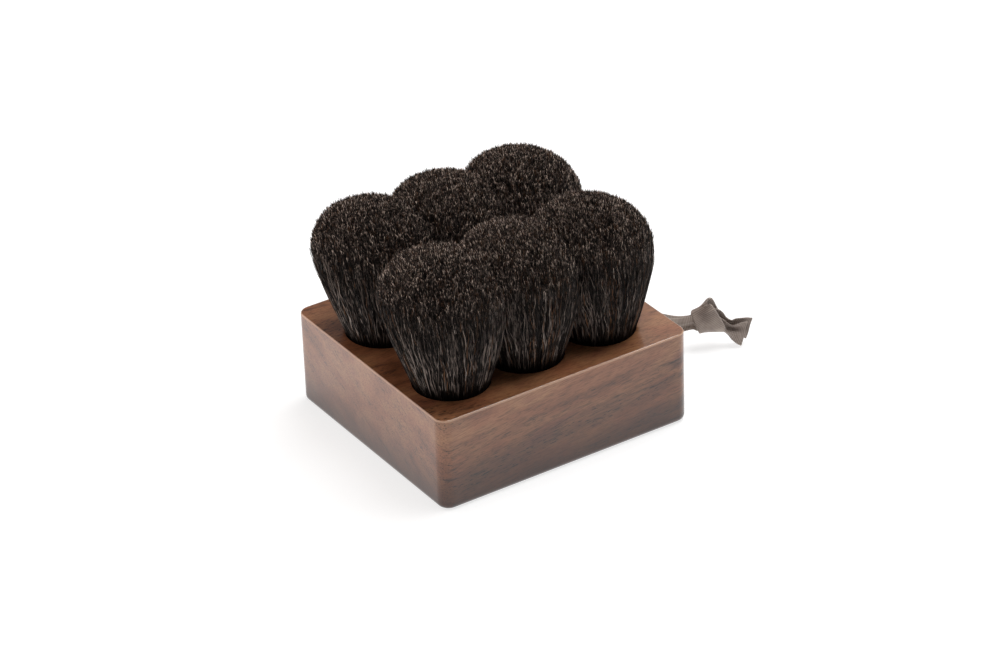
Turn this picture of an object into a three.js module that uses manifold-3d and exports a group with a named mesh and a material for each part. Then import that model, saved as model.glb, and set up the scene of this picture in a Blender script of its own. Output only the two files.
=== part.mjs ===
// A clothes brush: six round hair tufts set in a walnut block, with a knotted
// ribbon strap that swings on a pin in one end of the block.
//
// Millimetres, +Z up. The origin is the middle of the block's flat underside.
// X runs along the long side, and the strap leaves the +X end.
// Every piece is a separate closed solid, and pieces that touch keep FIT_GAP.

import * as THREE from 'three';
import { mergeVertices } from 'three/addons/utils/BufferGeometryUtils.js';
import Module from 'manifold-3d';

const wasm = await Module();
wasm.setup();

const FIT_GAP = 0.3;

// Walnut block.
const BLOCK_LENGTH = 90;
const BLOCK_WIDTH = 83;
const BLOCK_HEIGHT = 31.5;
const CORNER_RADIUS = 4;
const FOOT_ROUND = 2;
const RIM_ROUND = 0.6;

// The holes for the tufts: three along X in each of two rows.
const HOLE_RADIUS = 12;
const HOLE_DEPTH = 20;
const HOLE_PITCH = 26.6;
const ROW_PITCH = 38;
const FIELD_CENTRE = [-2.3, -3.3];

// A tuft: narrow where it leaves the hole, widest at the belly, and domed above it.
const TUFT_HEIGHT = 44;
const TUFT_RADIUS = 19.1;
const BELLY_HEIGHT = 28;
const FLARE_POWER = 1.3;
const DOME_POWER = 2.3;
const TUFT_LEAN = [-2.9, 0.8];
const TUFT_SEGMENTS = 28;

// The root of a tuft: a neck bound with thread, on a disc of set resin.
const ROOT_RADIUS = HOLE_RADIUS - FIT_GAP;
const NECK_RADIUS = 10.4;
const PLUG_THICKNESS = 2.4;
const BINDING_HEIGHT = 4.8;
const BINDING_TURNS = 4;

// The pin that the strap turns on, upright across a slot in the +X end.
const PIN_RADIUS = 1.2;
const PIN_LENGTH = 20;
const PIN_BASE = 4;
const PIN_INSET = 4.5;
const PIN_Y = 0.5;
const SLOT_WIDTH = 10.4;
const SLOT_HEIGHT = 10.4;
const SLOT_DEPTH = 9.5;
const SLOT_CENTRE_Z = 15.2;
const SLOT_CORNER = 2;

// The ribbon strap.
const RIBBON_WIDTH = 8;
const RIBBON_THICKNESS = 0.8;
const KNOT_START = [70.9, -7.1];
const KNOT_HEADING = [0.897, -0.442];
const KNOT_THICKNESS = 7;
const TAIL_SPREAD = 1.2;

const endX = BLOCK_LENGTH / 2;
const pinX = endX - PIN_INSET;
const holeFloor = BLOCK_HEIGHT - HOLE_DEPTH;

const walnut = new THREE.MeshStandardMaterial({ color: '#6a4636', roughness: 0.45, metalness: 0 });
const hair = new THREE.MeshStandardMaterial({ color: '#1d1817', roughness: 0.8, metalness: 0 });
const thread = new THREE.MeshStandardMaterial({ color: '#8a7a66', roughness: 0.8, metalness: 0 });
const resin = new THREE.MeshStandardMaterial({ color: '#a9854e', roughness: 0.3, metalness: 0 });
const brass = new THREE.MeshStandardMaterial({ color: '#b5914f', roughness: 0.35, metalness: 1 });
const ribbon = new THREE.MeshStandardMaterial({ color: '#6a5f58', roughness: 0.75, metalness: 0 });

const brush = new THREE.Group();

/** Turns a closed geometry into a solid that can be cut and joined. */
function solidOf(geometry) {
  const bare = geometry.index ? geometry.toNonIndexed() : geometry.clone();
  bare.deleteAttribute('normal');
  bare.deleteAttribute('uv');
  const merged = mergeVertices(bare, 1e-4);
  const mesh = new wasm.Mesh({
    numProp: 3,
    vertProperties: new Float32Array(merged.attributes.position.array),
    triVerts: new Uint32Array(merged.index.array),
  });
  return new wasm.Manifold(mesh);
}

/** Turns a solid back into a geometry. */
function geometryOf(solid) {
  const mesh = solid.getMesh();
  const geometry = new THREE.BufferGeometry();
  geometry.setAttribute('position', new THREE.BufferAttribute(mesh.vertProperties, 3));
  geometry.setIndex(new THREE.BufferAttribute(mesh.triVerts, 1));
  return geometry;
}

/** Moves every vertex of a geometry by a function of its place. */
function bend(geometry, move) {
  const places = geometry.attributes.position;
  const place = new THREE.Vector3();
  for (let i = 0; i < places.count; i += 1) {
    place.fromBufferAttribute(places, i);
    move(place);
    places.setXYZ(i, place.x, place.y, place.z);
  }
  return geometry;
}

/** Adds a named piece to a group. */
function addPiece(group, name, geometry, material) {
  const mesh = new THREE.Mesh(geometry, material);
  mesh.name = name;
  group.add(mesh);
}

/** A rectangle with round corners, centred on the origin. */
function roundedRectangle(length, width, radius) {
  const x = length / 2;
  const y = width / 2;
  const shape = new THREE.Shape();
  shape.absarc(x - radius, y - radius, radius, 0, Math.PI / 2);
  shape.absarc(radius - x, y - radius, radius, Math.PI / 2, Math.PI);
  shape.absarc(radius - x, radius - y, radius, Math.PI, 1.5 * Math.PI);
  shape.absarc(x - radius, radius - y, radius, 1.5 * Math.PI, 2 * Math.PI);
  return shape;
}

/** A plate standing on z = base, with the same round on its upper and lower edges. */
function roundedPlate(shape, base, height, round) {
  const geometry = new THREE.ExtrudeGeometry(shape, {
    depth: height - 2 * round,
    bevelSize: round,
    bevelThickness: round,
    bevelOffset: -round,
    bevelSegments: 3,
    curveSegments: 5,
  });
  return geometry.translate(0, 0, base + round);
}

/** A round bar along Z from z = base. */
function roundBar(radius, base, height, segments) {
  const geometry = new THREE.CylinderGeometry(radius, radius, height, segments);
  return geometry.rotateX(Math.PI / 2).translate(0, 0, base + height / 2);
}

/** A closed profile of [radius, z] points turned about Z. */
function turned(profile, segments) {
  const points = profile.map(([radius, z]) => new THREE.Vector2(radius, z));
  return new THREE.LatheGeometry(points, segments).rotateX(Math.PI / 2);
}

/** The block: a soft-edged slab with six blind holes, the strap's slot and the pin's bore. */
function blockGeometry() {
  const outline = roundedRectangle(BLOCK_LENGTH, BLOCK_WIDTH, CORNER_RADIUS);
  const spare = 2 * FOOT_ROUND;
  const foot = solidOf(roundedPlate(outline, 0, BLOCK_HEIGHT + spare, FOOT_ROUND));
  const rim = solidOf(roundedPlate(outline, -spare, BLOCK_HEIGHT + spare, RIM_ROUND));
  let solid = foot.intersect(rim);
  for (const { place } of holePlaces()) {
    const hole = roundBar(HOLE_RADIUS, holeFloor, HOLE_DEPTH + 1, TUFT_SEGMENTS);
    solid = solid.subtract(solidOf(hole.translate(place[0], place[1], 0)));
  }
  const mouth = new THREE.ExtrudeGeometry(
    roundedRectangle(SLOT_WIDTH, SLOT_HEIGHT, SLOT_CORNER),
    { depth: SLOT_DEPTH + 1, bevelEnabled: false, curveSegments: 4 },
  );
  mouth.rotateX(Math.PI / 2).rotateZ(Math.PI / 2);
  mouth.translate(endX - SLOT_DEPTH, PIN_Y, SLOT_CENTRE_Z);
  solid = solid.subtract(solidOf(mouth));
  const boreTop = PIN_BASE + PIN_LENGTH + FIT_GAP;
  const bore = roundBar(PIN_RADIUS + FIT_GAP, -1, boreTop + 1, 16).translate(pinX, PIN_Y, 0);
  return geometryOf(solid.subtract(solidOf(bore)));
}

/** The name and the centre of each hole, and its row and column counted from the middle. */
function holePlaces() {
  const places = [];
  for (const [row, side] of [['front', -0.5], ['rear', 0.5]]) {
    for (const [column, step] of [['left', -1], ['middle', 0], ['right', 1]]) {
      const x = FIELD_CENTRE[0] + step * HOLE_PITCH;
      const y = FIELD_CENTRE[1] + side * ROW_PITCH;
      places.push({ name: `${row}_${column}`, place: [x, y], side, step });
    }
  }
  return places;
}

/** The radius of a tuft at a height above the block. */
function tuftRadius(height) {
  if (height <= BELLY_HEIGHT) {
    const flare = 1 - (1 - height / BELLY_HEIGHT) ** FLARE_POWER;
    return ROOT_RADIUS + (TUFT_RADIUS - ROOT_RADIUS) * flare;
  }
  const rise = (height - BELLY_HEIGHT) / (TUFT_HEIGHT - BELLY_HEIGHT);
  return TUFT_RADIUS * Math.sqrt(Math.max(0, 1 - rise ** DOME_POWER));
}

/** The room that a tuft has between its neighbours: open on the outside of the brush. */
function tuftRoom(side, step) {
  const reach = 2 * TUFT_RADIUS;
  const across = (HOLE_PITCH - FIT_GAP) / 2;
  const deep = (ROW_PITCH - FIT_GAP) / 2;
  const [left, right] = [step < 0 ? -reach : -across, step > 0 ? reach : across];
  const [front, rear] = [side < 0 ? -reach : -deep, side > 0 ? reach : deep];
  const room = new THREE.BoxGeometry(right - left, rear - front, 4 * TUFT_HEIGHT);
  return room.translate((left + right) / 2, (front + rear) / 2, 0);
}

/** One tuft, leaning a little, pressed flat against its neighbours. */
function tuftGeometry(side, step) {
  const neckBase = holeFloor + PLUG_THICKNESS + 2 * FIT_GAP;
  const neckTop = neckBase + BINDING_HEIGHT + 2 * FIT_GAP;
  const profile = [[0, neckBase], [NECK_RADIUS, neckBase], [NECK_RADIUS, neckTop]];
  profile.push([ROOT_RADIUS, neckTop]);
  for (const height of [0, 4, 9, 15, 21, BELLY_HEIGHT]) {
    profile.push([tuftRadius(height), BLOCK_HEIGHT + height]);
  }
  for (const share of [0.3, 0.52, 0.7, 0.84, 0.94]) {
    const height = BELLY_HEIGHT + share * (TUFT_HEIGHT - BELLY_HEIGHT);
    profile.push([tuftRadius(height), BLOCK_HEIGHT + height]);
  }
  profile.push([0, BLOCK_HEIGHT + TUFT_HEIGHT]);
  const round = solidOf(turned(profile, TUFT_SEGMENTS));
  return bend(geometryOf(round.intersect(solidOf(tuftRoom(side, step)))), (place) => {
    const rise = Math.max(0, place.z - BLOCK_HEIGHT) / TUFT_HEIGHT;
    place.x += TUFT_LEAN[0] * rise ** 1.5;
    place.y += TUFT_LEAN[1] * rise ** 1.5;
  });
}

/** The thread wound round a tuft's neck: a ring with one low ridge for each turn. */
function bindingGeometry() {
  const base = holeFloor + PLUG_THICKNESS + 3 * FIT_GAP;
  const pitch = BINDING_HEIGHT / BINDING_TURNS;
  const inner = NECK_RADIUS + FIT_GAP;
  const profile = [[inner, base]];
  for (let turn = 0; turn < BINDING_TURNS; turn += 1) {
    const z = base + turn * pitch;
    profile.push([ROOT_RADIUS - 0.35, z], [ROOT_RADIUS, z + pitch / 2]);
  }
  profile.push([ROOT_RADIUS - 0.35, base + BINDING_HEIGHT]);
  profile.push([inner, base + BINDING_HEIGHT], [inner, base]);
  return turned(profile, TUFT_SEGMENTS);
}

/** The resin that holds the root ends: a thin disc on the floor of the hole. */
function plugGeometry() {
  return roundBar(ROOT_RADIUS, holeFloor + FIT_GAP, PLUG_THICKNESS, TUFT_SEGMENTS);
}

/** The height of the ribbon's edges above each other, by x: it gathers towards the knot. */
function ribbonSpread(x) {
  const share = THREE.MathUtils.smoothstep(x, endX + 4, KNOT_START[0]);
  return THREE.MathUtils.lerp(RIBBON_WIDTH, 0.58 * RIBBON_WIDTH, share);
}

/** The height of a route at an x, between its two nearest places. */
function routeHeight(route, x) {
  const next = Math.max(1, route.findIndex((place) => place.x >= x));
  const [a, b] = [route[next - 1], route[next]];
  return THREE.MathUtils.lerp(a.z, b.z, (x - a.x) / (b.x - a.x));
}

/** A ribbon that stands on edge along a route of [x, y, z] points. */
function strandGeometry(routePoints) {
  const curve = new THREE.CatmullRomCurve3(routePoints.map((place) => new THREE.Vector3(...place)));
  const stations = 14;
  const route = curve.getSpacedPoints(stations);
  const near = [];
  const far = [];
  for (let i = 0; i <= stations; i += 1) {
    const heading = curve.getTangentAt(i / stations).setZ(0).normalize();
    const side = new THREE.Vector2(-heading.y, heading.x).multiplyScalar(RIBBON_THICKNESS / 2);
    near.push(new THREE.Vector2(route[i].x - side.x, route[i].y - side.y));
    far.unshift(new THREE.Vector2(route[i].x + side.x, route[i].y + side.y));
  }
  const shape = new THREE.Shape([...near, ...far]);
  const geometry = new THREE.ExtrudeGeometry(shape, { depth: 1, bevelEnabled: false });
  return bend(geometry, (place) => {
    const x = THREE.MathUtils.clamp(place.x, route[0].x, route[stations].x);
    place.z = routeHeight(route, x) + (place.z - 0.5) * ribbonSpread(place.x);
  });
}

/** The ribbon's turn round the pin, inside the slot. */
function eyeGeometry() {
  const inner = PIN_RADIUS + FIT_GAP + 0.1;
  const outer = inner + RIBBON_THICKNESS;
  const legs = PIN_INSET - FIT_GAP - 0.6;
  const shape = new THREE.Shape();
  shape.moveTo(legs, -outer);
  shape.lineTo(0, -outer);
  shape.absarc(0, 0, outer, 1.5 * Math.PI, 0.5 * Math.PI, true);
  shape.lineTo(legs, outer);
  shape.lineTo(legs, inner);
  shape.lineTo(0, inner);
  shape.absarc(0, 0, inner, 0.5 * Math.PI, 1.5 * Math.PI, false);
  shape.lineTo(legs, -inner);
  const geometry = new THREE.ExtrudeGeometry(
    shape,
    { depth: RIBBON_WIDTH, bevelEnabled: false, curveSegments: 10 },
  );
  return geometry.translate(pinX, PIN_Y, SLOT_CENTRE_Z - RIBBON_WIDTH / 2);
}

/** An upright slab whose outline is in [distance along the knot's heading, z]. */
function slabGeometry(outline, thickness, aside, round) {
  const shape = new THREE.Shape(outline.map(([along, z]) => new THREE.Vector2(along, z)));
  const geometry = new THREE.ExtrudeGeometry(shape, {
    depth: thickness - 2 * round,
    bevelEnabled: round > 0,
    bevelSize: round,
    bevelThickness: round,
    bevelOffset: -round,
    bevelSegments: 2,
  });
  geometry.translate(0, 0, aside - thickness / 2 + round);
  const [east, north] = KNOT_HEADING;
  return bend(geometry, (place) => {
    const { x: along, y: height, z: across } = place;
    place.x = KNOT_START[0] + east * along + north * across;
    place.y = KNOT_START[1] + north * along - east * across;
    place.z = height;
  });
}

addPiece(brush, 'walnut_block', blockGeometry(), walnut);

for (const { name, place, side, step } of holePlaces()) {
  const root = new THREE.Group();
  root.position.set(place[0], place[1], 0);
  brush.add(root);
  addPiece(root, `hair_tuft_${name}`, tuftGeometry(side, step), hair);
  addPiece(root, `thread_binding_${name}`, bindingGeometry(), thread);
  addPiece(root, `root_resin_${name}`, plugGeometry(), resin);
}

const pin = roundBar(PIN_RADIUS, PIN_BASE, PIN_LENGTH, 16).translate(pinX, PIN_Y, 0);
addPiece(brush, 'strap_pin', pin, brass);

const strandStart = endX - 0.6;
const eyeRadius = PIN_RADIUS + FIT_GAP + 0.1 + RIBBON_THICKNESS / 2;
addPiece(brush, 'strap_eye', eyeGeometry(), ribbon);
addPiece(brush, 'strap_strand_near', strandGeometry([
  [strandStart, PIN_Y - eyeRadius, 15.1], [47.5, PIN_Y - 2.4, 14.6], [53, -3.2, 12.6],
  [60, -5, 10.4], [66, -6.3, 9.5], [70.2, -8.2, 9.9],
]), ribbon);
addPiece(brush, 'strap_strand_far', strandGeometry([
  [strandStart, PIN_Y + eyeRadius, 15.1], [47.5, PIN_Y + 2.4, 14.9], [53, 3.2, 13],
  [60, 0.1, 10.3], [66, -3.6, 8.9], [70.5, -6.3, 9.1],
]), ribbon);
addPiece(brush, 'strap_knot', slabGeometry([
  [0, 7.2], [0, 12.7], [4.3, 17.7], [6.2, 17.7], [8, 13.7], [12, 9.1], [12, 5.4], [10.8, 4.7], [2.5, 5.4],
], KNOT_THICKNESS, 0, 1), ribbon);
addPiece(brush, 'strap_tail_near', slabGeometry([
  [12.4, 3.8], [12.4, 7.6], [14, 8.1], [17.8, 8.2], [16.6, 3.8], [15.1, 0.5], [13.3, 2.2],
], RIBBON_THICKNESS, TAIL_SPREAD / 2, 0), ribbon);
addPiece(brush, 'strap_tail_far', slabGeometry([
  [12.4, 5.2], [12.4, 8.8], [14, 9.2], [16, 9.3], [18.8, 8.8], [19.1, 5.6], [18, 0.9], [15, 3],
], RIBBON_THICKNESS, -TAIL_SPREAD / 2, 0), ribbon);

export default brush;
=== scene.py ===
import math

import bmesh
import bpy
import numpy as np
from mathutils import Matrix, Vector


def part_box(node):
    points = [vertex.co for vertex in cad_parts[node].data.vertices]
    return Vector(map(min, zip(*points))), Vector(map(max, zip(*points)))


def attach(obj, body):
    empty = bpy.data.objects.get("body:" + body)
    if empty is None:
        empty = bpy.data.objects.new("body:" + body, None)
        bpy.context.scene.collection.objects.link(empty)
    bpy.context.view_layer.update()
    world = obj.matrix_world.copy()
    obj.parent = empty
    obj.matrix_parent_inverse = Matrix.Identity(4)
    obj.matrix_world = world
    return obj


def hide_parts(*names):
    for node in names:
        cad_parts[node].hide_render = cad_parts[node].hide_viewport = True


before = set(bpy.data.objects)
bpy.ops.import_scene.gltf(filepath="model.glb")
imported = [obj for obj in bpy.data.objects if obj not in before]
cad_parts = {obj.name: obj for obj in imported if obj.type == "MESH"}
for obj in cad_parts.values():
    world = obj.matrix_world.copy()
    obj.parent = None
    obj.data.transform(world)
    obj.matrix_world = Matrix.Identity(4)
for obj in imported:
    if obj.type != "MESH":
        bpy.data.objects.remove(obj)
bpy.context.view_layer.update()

MM = 0.001

# Lengths are in millimetres from here on, unless a name or a comment says metres.


# ---------------------------------------------------------------- camera, floor and light

CAMERA_AZIMUTH, CAMERA_ELEVATION, CAMERA_ROLL = -32.41, 30.64, -2.13
CAMERA_AIM = (12.0, 13.9, 16.0)
CAMERA_DISTANCE = 1271.0
CAMERA_LENS = 146.2
CAMERA_FRAME = 36.0
CLIP_METRES = (0.05, 50)
FLOOR_HALF_METRES = 6.0
WARM_LIGHT = (1, 0.92, 0.87)
WARMER_LIGHT = (1, 0.86, 0.79)


def studio_camera():
    """A long lens that looks down at the brush's front left corner, a little off level.

    The camera stands back from its aim along the unit vector (sin azimuth cos elevation, -cos azimuth cos
    elevation, sin elevation), and its picture is turned by the roll about that vector.
    """
    azimuth, elevation = math.radians(CAMERA_AZIMUTH), math.radians(CAMERA_ELEVATION)
    roll = math.radians(CAMERA_ROLL)
    back = Vector((
        math.sin(azimuth) * math.cos(elevation),
        -math.cos(azimuth) * math.cos(elevation),
        math.sin(elevation),
    ))
    right = Vector((math.cos(azimuth), math.sin(azimuth), 0))
    up = back.cross(right)
    across = math.cos(roll) * right + math.sin(roll) * up
    upward = math.cos(roll) * up - math.sin(roll) * right
    camera = bpy.data.objects.new("camera", bpy.data.cameras.new("camera"))
    camera.data.lens = CAMERA_LENS
    camera.data.sensor_width = CAMERA_FRAME
    camera.data.clip_start, camera.data.clip_end = CLIP_METRES
    turn = Matrix((across, upward, back)).transposed().to_4x4()
    place = (Vector(CAMERA_AIM) + CAMERA_DISTANCE * back) * MM
    camera.matrix_world = Matrix.Translation(place) @ turn
    bpy.context.scene.collection.objects.link(camera)
    bpy.context.scene.camera = camera


def soft_light(name, place, aim, size, power, colour=(1, 1, 1)):
    """A square soft box at a place, turned towards a point; places and size in metres, power in watts."""
    lamp = bpy.data.objects.new(name, bpy.data.lights.new(name, "AREA"))
    lamp.data.size = size
    lamp.data.energy = power
    lamp.data.color = colour
    lamp.location = place
    lamp.rotation_euler = (Vector(aim) - Vector(place)).to_track_quat("-Z", "Y").to_euler()
    bpy.context.scene.collection.objects.link(lamp)


def studio():
    """A pale floor without an edge, a dim white room and four soft boxes: left, overhead and two behind."""
    bpy.context.scene.view_settings.view_transform = "Standard"
    world = bpy.data.worlds.new("pale_room")
    world.use_nodes = True
    background = world.node_tree.nodes["Background"]
    background.inputs["Color"].default_value = (1, 1, 1, 1)
    background.inputs["Strength"].default_value = 0.15
    bpy.context.scene.world = world
    middle = (0, 0, 0.03)
    soft_light("left_box", (-1.0, 0.0, 0.6), middle, size=0.7, power=2.2, colour=WARM_LIGHT)
    soft_light("overhead_box", (0.34, -0.02, 1.12), middle, size=0.7, power=13)
    soft_light("rim_box", (-0.6, 0.87, 0.54), middle, size=0.8, power=4.0, colour=WARMER_LIGHT)
    soft_light("back_box", (1.68, 1.44, 1.3), middle, size=1.1, power=2.4)
    floor = piece_from_patches("floor", [(flat_grid(FLOOR_HALF_METRES, 6), False)])
    floor.data.materials.append(floor_paint())


# ---------------------------------------------------------------- mesh making

MERGE_METRES = 2e-6
SLIVER_METRES = 1e-6


def flat_grid(half, steps):
    """A level square: x and y run evenly from -half to half at z = 0."""
    line = np.linspace(-half, half, steps)
    x, y = np.meshgrid(line, line)
    return np.stack([x, y, np.zeros_like(x)], -1)


def grid_quads(rows, columns, wrap):
    """The quads between neighbours in a grid: point (row, column) is row * columns + column.

    With wrap, the last column is joined to the first.
    """
    row = np.arange(rows - 1)[:, None]
    column = np.arange(columns if wrap else columns - 1)[None, :]
    after = (column + 1) % columns
    corners = [row * columns + column, row * columns + after]
    corners += [(row + 1) * columns + after, (row + 1) * columns + column]
    return np.stack([np.broadcast_to(c, (rows - 1, column.shape[1])) for c in corners], -1).reshape(-1, 4)


def link_piece(name, mesh):
    """A new object that holds a mesh, at the origin."""
    piece = bpy.data.objects.new(name, mesh)
    bpy.context.scene.collection.objects.link(piece)
    return piece


def piece_from_patches(name, patches):
    """Joins (grid of points, wrap) patches into one smooth mesh.

    Doubled border points are merged and the faces are turned outwards.
    """
    mesh = bpy.data.meshes.new(name)
    points, quads, first = [], [], 0
    for grid, wrap in patches:
        points.append(grid.reshape(-1, 3))
        quads.append(grid_quads(grid.shape[0], grid.shape[1], wrap) + first)
        first += len(points[-1])
    mesh.from_pydata(np.concatenate(points).tolist(), [], np.concatenate(quads).tolist())
    shape = bmesh.new()
    shape.from_mesh(mesh)
    bmesh.ops.remove_doubles(shape, verts=shape.verts, dist=MERGE_METRES)
    bmesh.ops.dissolve_degenerate(shape, edges=shape.edges, dist=SLIVER_METRES)
    bmesh.ops.recalc_face_normals(shape, faces=shape.faces)
    shape.to_mesh(mesh)
    shape.free()
    mesh.polygons.foreach_set("use_smooth", np.ones(len(mesh.polygons), bool))
    mesh.update()
    return link_piece(name, mesh)


def piece_from_triangles(name, points, triangles, uv):
    """A smooth mesh from whole arrays of points, triangles and one UV place for each point."""
    mesh = bpy.data.meshes.new(name)
    mesh.vertices.add(len(points))
    mesh.vertices.foreach_set("co", points.astype(np.float32).ravel())
    mesh.loops.add(triangles.size)
    mesh.loops.foreach_set("vertex_index", triangles.astype(np.int32).ravel())
    mesh.polygons.add(len(triangles))
    mesh.polygons.foreach_set("loop_start", np.arange(0, triangles.size, 3, dtype=np.int32))
    mesh.polygons.foreach_set("use_smooth", np.ones(len(triangles), bool))
    layer = mesh.uv_layers.new(name="OFBake")
    layer.data.foreach_set("uv", uv[triangles.ravel()].astype(np.float32).ravel())
    mesh.update(calc_edges=True)
    mesh.validate()
    return link_piece(name, mesh)


def smooth_path(points, steps):
    """A Catmull-Rom curve through given rows of numbers, with steps between each two rows.

    Between rows b and c, with a before and d after, it is b + t / 2 * (c - a + t * (2a - 5b + 4c - d + t
    * (3b - a - 3c + d))), where t goes from 0 to 1.
    """
    rows = np.array(points, float)
    rows = np.vstack([2 * rows[0] - rows[1], rows, 2 * rows[-1] - rows[-2]])
    t = np.linspace(0, 1, steps, endpoint=False)[:, None, None]
    a, b, c, d = rows[:-3], rows[1:-2], rows[2:-1], rows[3:]
    curve = b + 0.5 * t * (c - a + t * (2 * a - 5 * b + 4 * c - d + t * (3 * b - a - 3 * c + d)))
    return np.vstack([curve.transpose(1, 0, 2).reshape(-1, rows.shape[1]), rows[-2]])


def unit(vectors):
    """Each vector divided by its length."""
    return vectors / np.maximum(np.linalg.norm(vectors, axis=-1, keepdims=True), 1e-12)


def nearest(points, places):
    """For each point, the number of the place at the least squared distance, worked out in 20 parts."""
    parts = np.array_split(points, 20)
    return np.concatenate([np.argmin(((part[:, None] - places) ** 2).sum(-1), axis=1) for part in parts])


# ---------------------------------------------------------------- material making


def linear(code):
    """An sRGB hex code as linear red, green, blue and alpha."""
    values = np.array([int(code[i:i + 2], 16) for i in (1, 3, 5)]) / 255
    values = np.where(values <= 0.04045, values / 12.92, ((values + 0.055) / 1.055) ** 2.4)
    return (*values.tolist(), 1.0)


def new_material(name):
    """A material with one Principled shader; gives the material, its tree and the shader."""
    material = bpy.data.materials.new(name)
    material.use_nodes = True
    tree = material.node_tree
    tree.nodes.clear()
    shader = tree.nodes.new("ShaderNodeBsdfPrincipled")
    output = tree.nodes.new("ShaderNodeOutputMaterial")
    tree.links.new(shader.outputs["BSDF"], output.inputs["Surface"])
    return material, tree, shader


def add_node(tree, kind, settings=(), **inputs):
    """Adds a node, sets its settings and fills its inputs: a socket is linked and any other value is set.

    An input is called by its name, or by i and its number.
    """
    node = tree.nodes.new("ShaderNode" + kind)
    for key, value in dict(settings).items():
        setattr(node, key, value)
    for key, value in inputs.items():
        socket = node.inputs[int(key[1:])] if key[0] == "i" and key[1:].isdigit() else node.inputs[key]
        if isinstance(value, bpy.types.NodeSocket):
            tree.links.new(value, socket)
        else:
            socket.default_value = value
    return node


def ramp(tree, factor, stops):
    """A colour ramp over (position, hex) stops; gives its colour socket."""
    node = add_node(tree, "ValToRGB", i0=factor)
    elements = node.color_ramp.elements
    while len(elements) < len(stops):
        elements.new(0.5)
    for element, (position, code) in zip(elements, stops):
        element.position = position
        element.color = linear(code)
    return node.outputs["Color"]


def set_shader(shader, **values):
    """Sets constant values on the shader's own sockets; an underscore in a name stands for a space."""
    for key, value in values.items():
        shader.inputs[key.replace("_", " ")].default_value = value


def floor_paint():
    """Opal acrylic sheet, sanded and lit from below: an even, almost white ground with soft, faint shadows.

    Its own glow gives most of its brightness, over a light grey that varies a little every 300 mm.
    """
    material, tree, shader = new_material("lit_white_acrylic")
    place = add_node(tree, "TexCoord").outputs["Object"]
    cloud = add_node(tree, "TexNoise", Vector=place, Scale=3.0)
    colour = ramp(tree, cloud.outputs["Fac"], [(0, "#a8a8a8"), (1, "#aaaaaa")])
    tree.links.new(colour, shader.inputs["Base Color"])
    set_shader(shader, Roughness=0.9, Specular_IOR_Level=0.1)
    set_shader(shader, Emission_Color=linear("#ffffff"), Emission_Strength=0.72)
    return material


# The fibres run along X and climb six degrees; the growth rings dip twenty-six degrees towards the front.
FIBRE_TURN = (math.radians(26), math.radians(-6), 0)

# Each pattern in the wood: its size along, across and through the fibres, its detail and its roughness.
# Real pores are about 0.15 wide; they are drawn twice as wide so that they show.
WOOD_PATTERNS = {
    "bands": ((120, 50, 6), 3.0, 0.5),
    "cloud": ((22, 12, 8), 2.0, 0.5),
    "streaks": ((7, 4, 0.8), 3.0, 0.6),
    "fibres": ((4, 0.5, 0.35), 2.0, 0.7),
    "pores": ((2.2, 0.34, 0.3), 1.0, 0.5),
}


def wood_space(tree, place, sizes):
    """Object coordinates turned to the fibres and divided by a size along, across and through them."""
    settings = {"vector_type": "TEXTURE"}
    scale = tuple(size * MM for size in sizes)
    space = add_node(tree, "Mapping", settings, Vector=place, Rotation=FIBRE_TURN, Scale=scale)
    return space.outputs["Vector"]


def layer_over(tree, base, layer, share=1.0):
    """A colour multiplied by a layer, by a share: base * (1 - share + share * layer)."""
    settings = {"data_type": "RGBA", "blend_type": "MULTIPLY"}
    return add_node(tree, "Mix", settings, i0=share, i6=base, i7=layer).outputs[2]


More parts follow.
